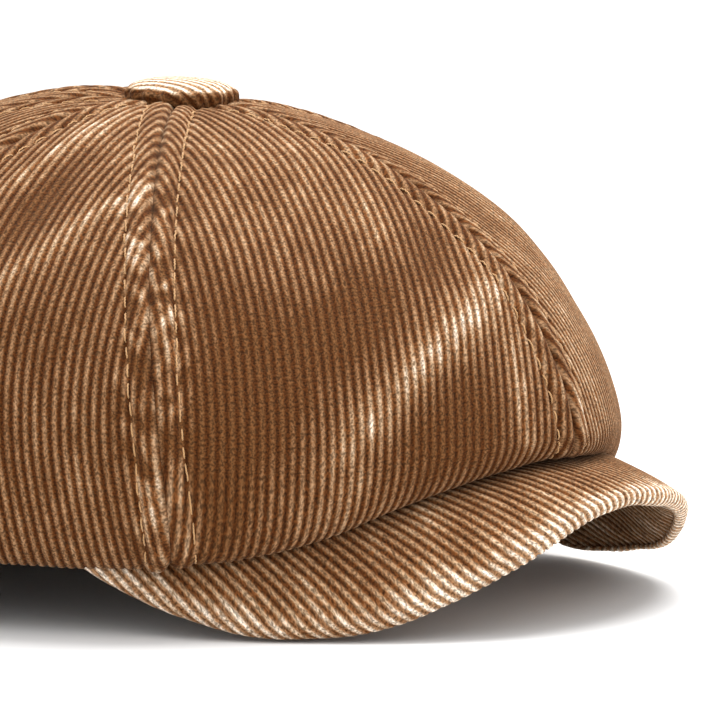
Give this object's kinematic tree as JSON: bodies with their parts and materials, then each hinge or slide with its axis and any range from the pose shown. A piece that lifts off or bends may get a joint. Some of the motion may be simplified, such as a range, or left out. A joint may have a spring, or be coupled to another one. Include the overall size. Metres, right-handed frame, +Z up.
{
  "type": "newsboy cap",
  "caption": "Gored corduroy newsboy cap with covered top button, twin topstitched seams, drooped stiff visor, lining and headband.",
  "frame": {"origin": "under the middle of the cap's box, on the surface it stands on", "axes": "+Z up, -Y towards the front of the visor, -X towards the wearer's right"},
  "size_m": [0.221, 0.2842, 0.1177],
  "materials": {
    "corduroy": "matte",
    "topstitch_thread": "satin",
    "lining_cloth": "satin",
    "sweatband_twill": "matte",
    "stiffener_felt": "matte",
    "visor_board_plastic": "matte",
    "button_metal": "satin"
  },
  "bodies": {
    "root": {"button_back": "button_metal", "button_cover": "corduroy", "button_shank": "button_metal", "button_shell": "button_metal", "crown_panel_front_left": "corduroy", "crown_panel_front_right": "corduroy", "crown_panel_rear_left": "corduroy", "crown_panel_rear_right": "corduroy", "crown_panel_side_front_left": "corduroy", "crown_panel_side_front_right": "corduroy", "crown_panel_side_rear_left": "corduroy", "crown_panel_side_rear_right": "corduroy", "headband_stiffener": "stiffener_felt", "lining_panel_front_left": "lining_cloth", "lining_panel_front_right": "lining_cloth", "lining_panel_rear_left": "lining_cloth", "lining_panel_rear_right": "lining_cloth", "lining_panel_side_front_left": "lining_cloth", "lining_panel_side_front_right": "lining_cloth", "lining_panel_side_rear_left": "lining_cloth", "lining_panel_side_rear_right": "lining_cloth", "stitch_seam_front_left": "topstitch_thread", "stitch_seam_front_right": "topstitch_thread", "stitch_seam_front_side_left_aft": "topstitch_thread", "stitch_seam_front_side_left_fore": "topstitch_thread", "stitch_seam_front_side_right_aft": "topstitch_thread", "stitch_seam_front_side_right_fore": "topstitch_thread", "stitch_seam_rear_left": "topstitch_thread", "stitch_seam_rear_right": "topstitch_thread", "stitch_seam_rear_side_left_aft": "topstitch_thread", "stitch_seam_rear_side_left_fore": "topstitch_thread", "stitch_seam_rear_side_right_aft": "topstitch_thread", "stitch_seam_rear_side_right_fore": "topstitch_thread", "stitch_seam_side_left_aft": "topstitch_thread", "stitch_seam_side_left_fore": "topstitch_thread", "stitch_seam_side_right_aft": "topstitch_thread", "stitch_seam_side_right_fore": "topstitch_thread", "sweatband": "sweatband_twill", "visor_board": "visor_board_plastic", "visor_cover_bottom": "corduroy", "visor_cover_top": "corduroy"}
  },
  "joints": []
}
